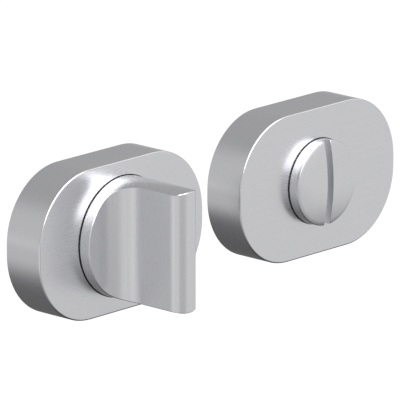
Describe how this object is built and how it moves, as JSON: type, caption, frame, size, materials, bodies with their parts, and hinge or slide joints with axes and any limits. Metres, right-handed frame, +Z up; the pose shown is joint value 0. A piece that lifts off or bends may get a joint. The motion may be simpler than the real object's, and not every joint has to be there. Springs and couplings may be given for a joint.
{
  "type": "bathroom thumb turn and coin release set",
  "caption": "Satin steel bathroom thumb turn lock: a hollow rounded rose with an upright winged turn, and a matching rose with a domed slotted release, each on a base plate with spindle.",
  "frame": {"origin": "the thumb turn's turning axis at the plane of the backs, which lies on the door", "axes": "+Y into the door, so the fronts face -Y; +X from the thumb turn to the release; +Z up"},
  "size_m": [0.1363, 0.0576, 0.04],
  "materials": {
    "satin_steel": "satin, fine brushed grain",
    "plain_steel": "plain bright zinc",
    "spring_steel": "dark phosphated",
    "brass": "turned, uncoated",
    "nylon": "glass-filled, fine matt",
    "acetal": "smooth matt white"
  },
  "bodies": {
    "roses": {"turn_cover": "satin_steel", "turn_base": "nylon", "turn_bush": "brass", "turn_thrust_washer": "acetal", "turn_stop_pin": "plain_steel", "turn_fixing_sleeves": "plain_steel", "turn_cover_screw": "spring_steel", "release_cover": "satin_steel", "release_base": "nylon", "release_bush": "brass", "release_thrust_washer": "acetal", "release_stop_pin": "plain_steel", "release_thread_inserts": "brass", "release_cover_screw": "spring_steel"},
    "thumb_turn": {"turn_knob": "satin_steel", "turn_spindle": "plain_steel", "turn_cross_pin": "plain_steel", "turn_spring_washer": "spring_steel", "turn_retaining_ring": "spring_steel"},
    "coin_release": {"release_disc": "satin_steel", "release_spindle": "plain_steel", "release_cross_pin": "plain_steel", "release_spring_washer": "spring_steel", "release_retaining_ring": "spring_steel"}
  },
  "joints": [
    {"name": "turn_quarter", "type": "hinge", "parent": "roses", "child": "thumb_turn", "pos_m": [0, 0, 0], "axis": [0, 1, 0], "range_deg": [0, 90]},
    {"name": "release_quarter", "type": "hinge", "parent": "roses", "child": "coin_release", "pos_m": [0.07533, 0, 0], "axis": [0, -1, 0], "range_deg": [0, 90]}
  ]
}
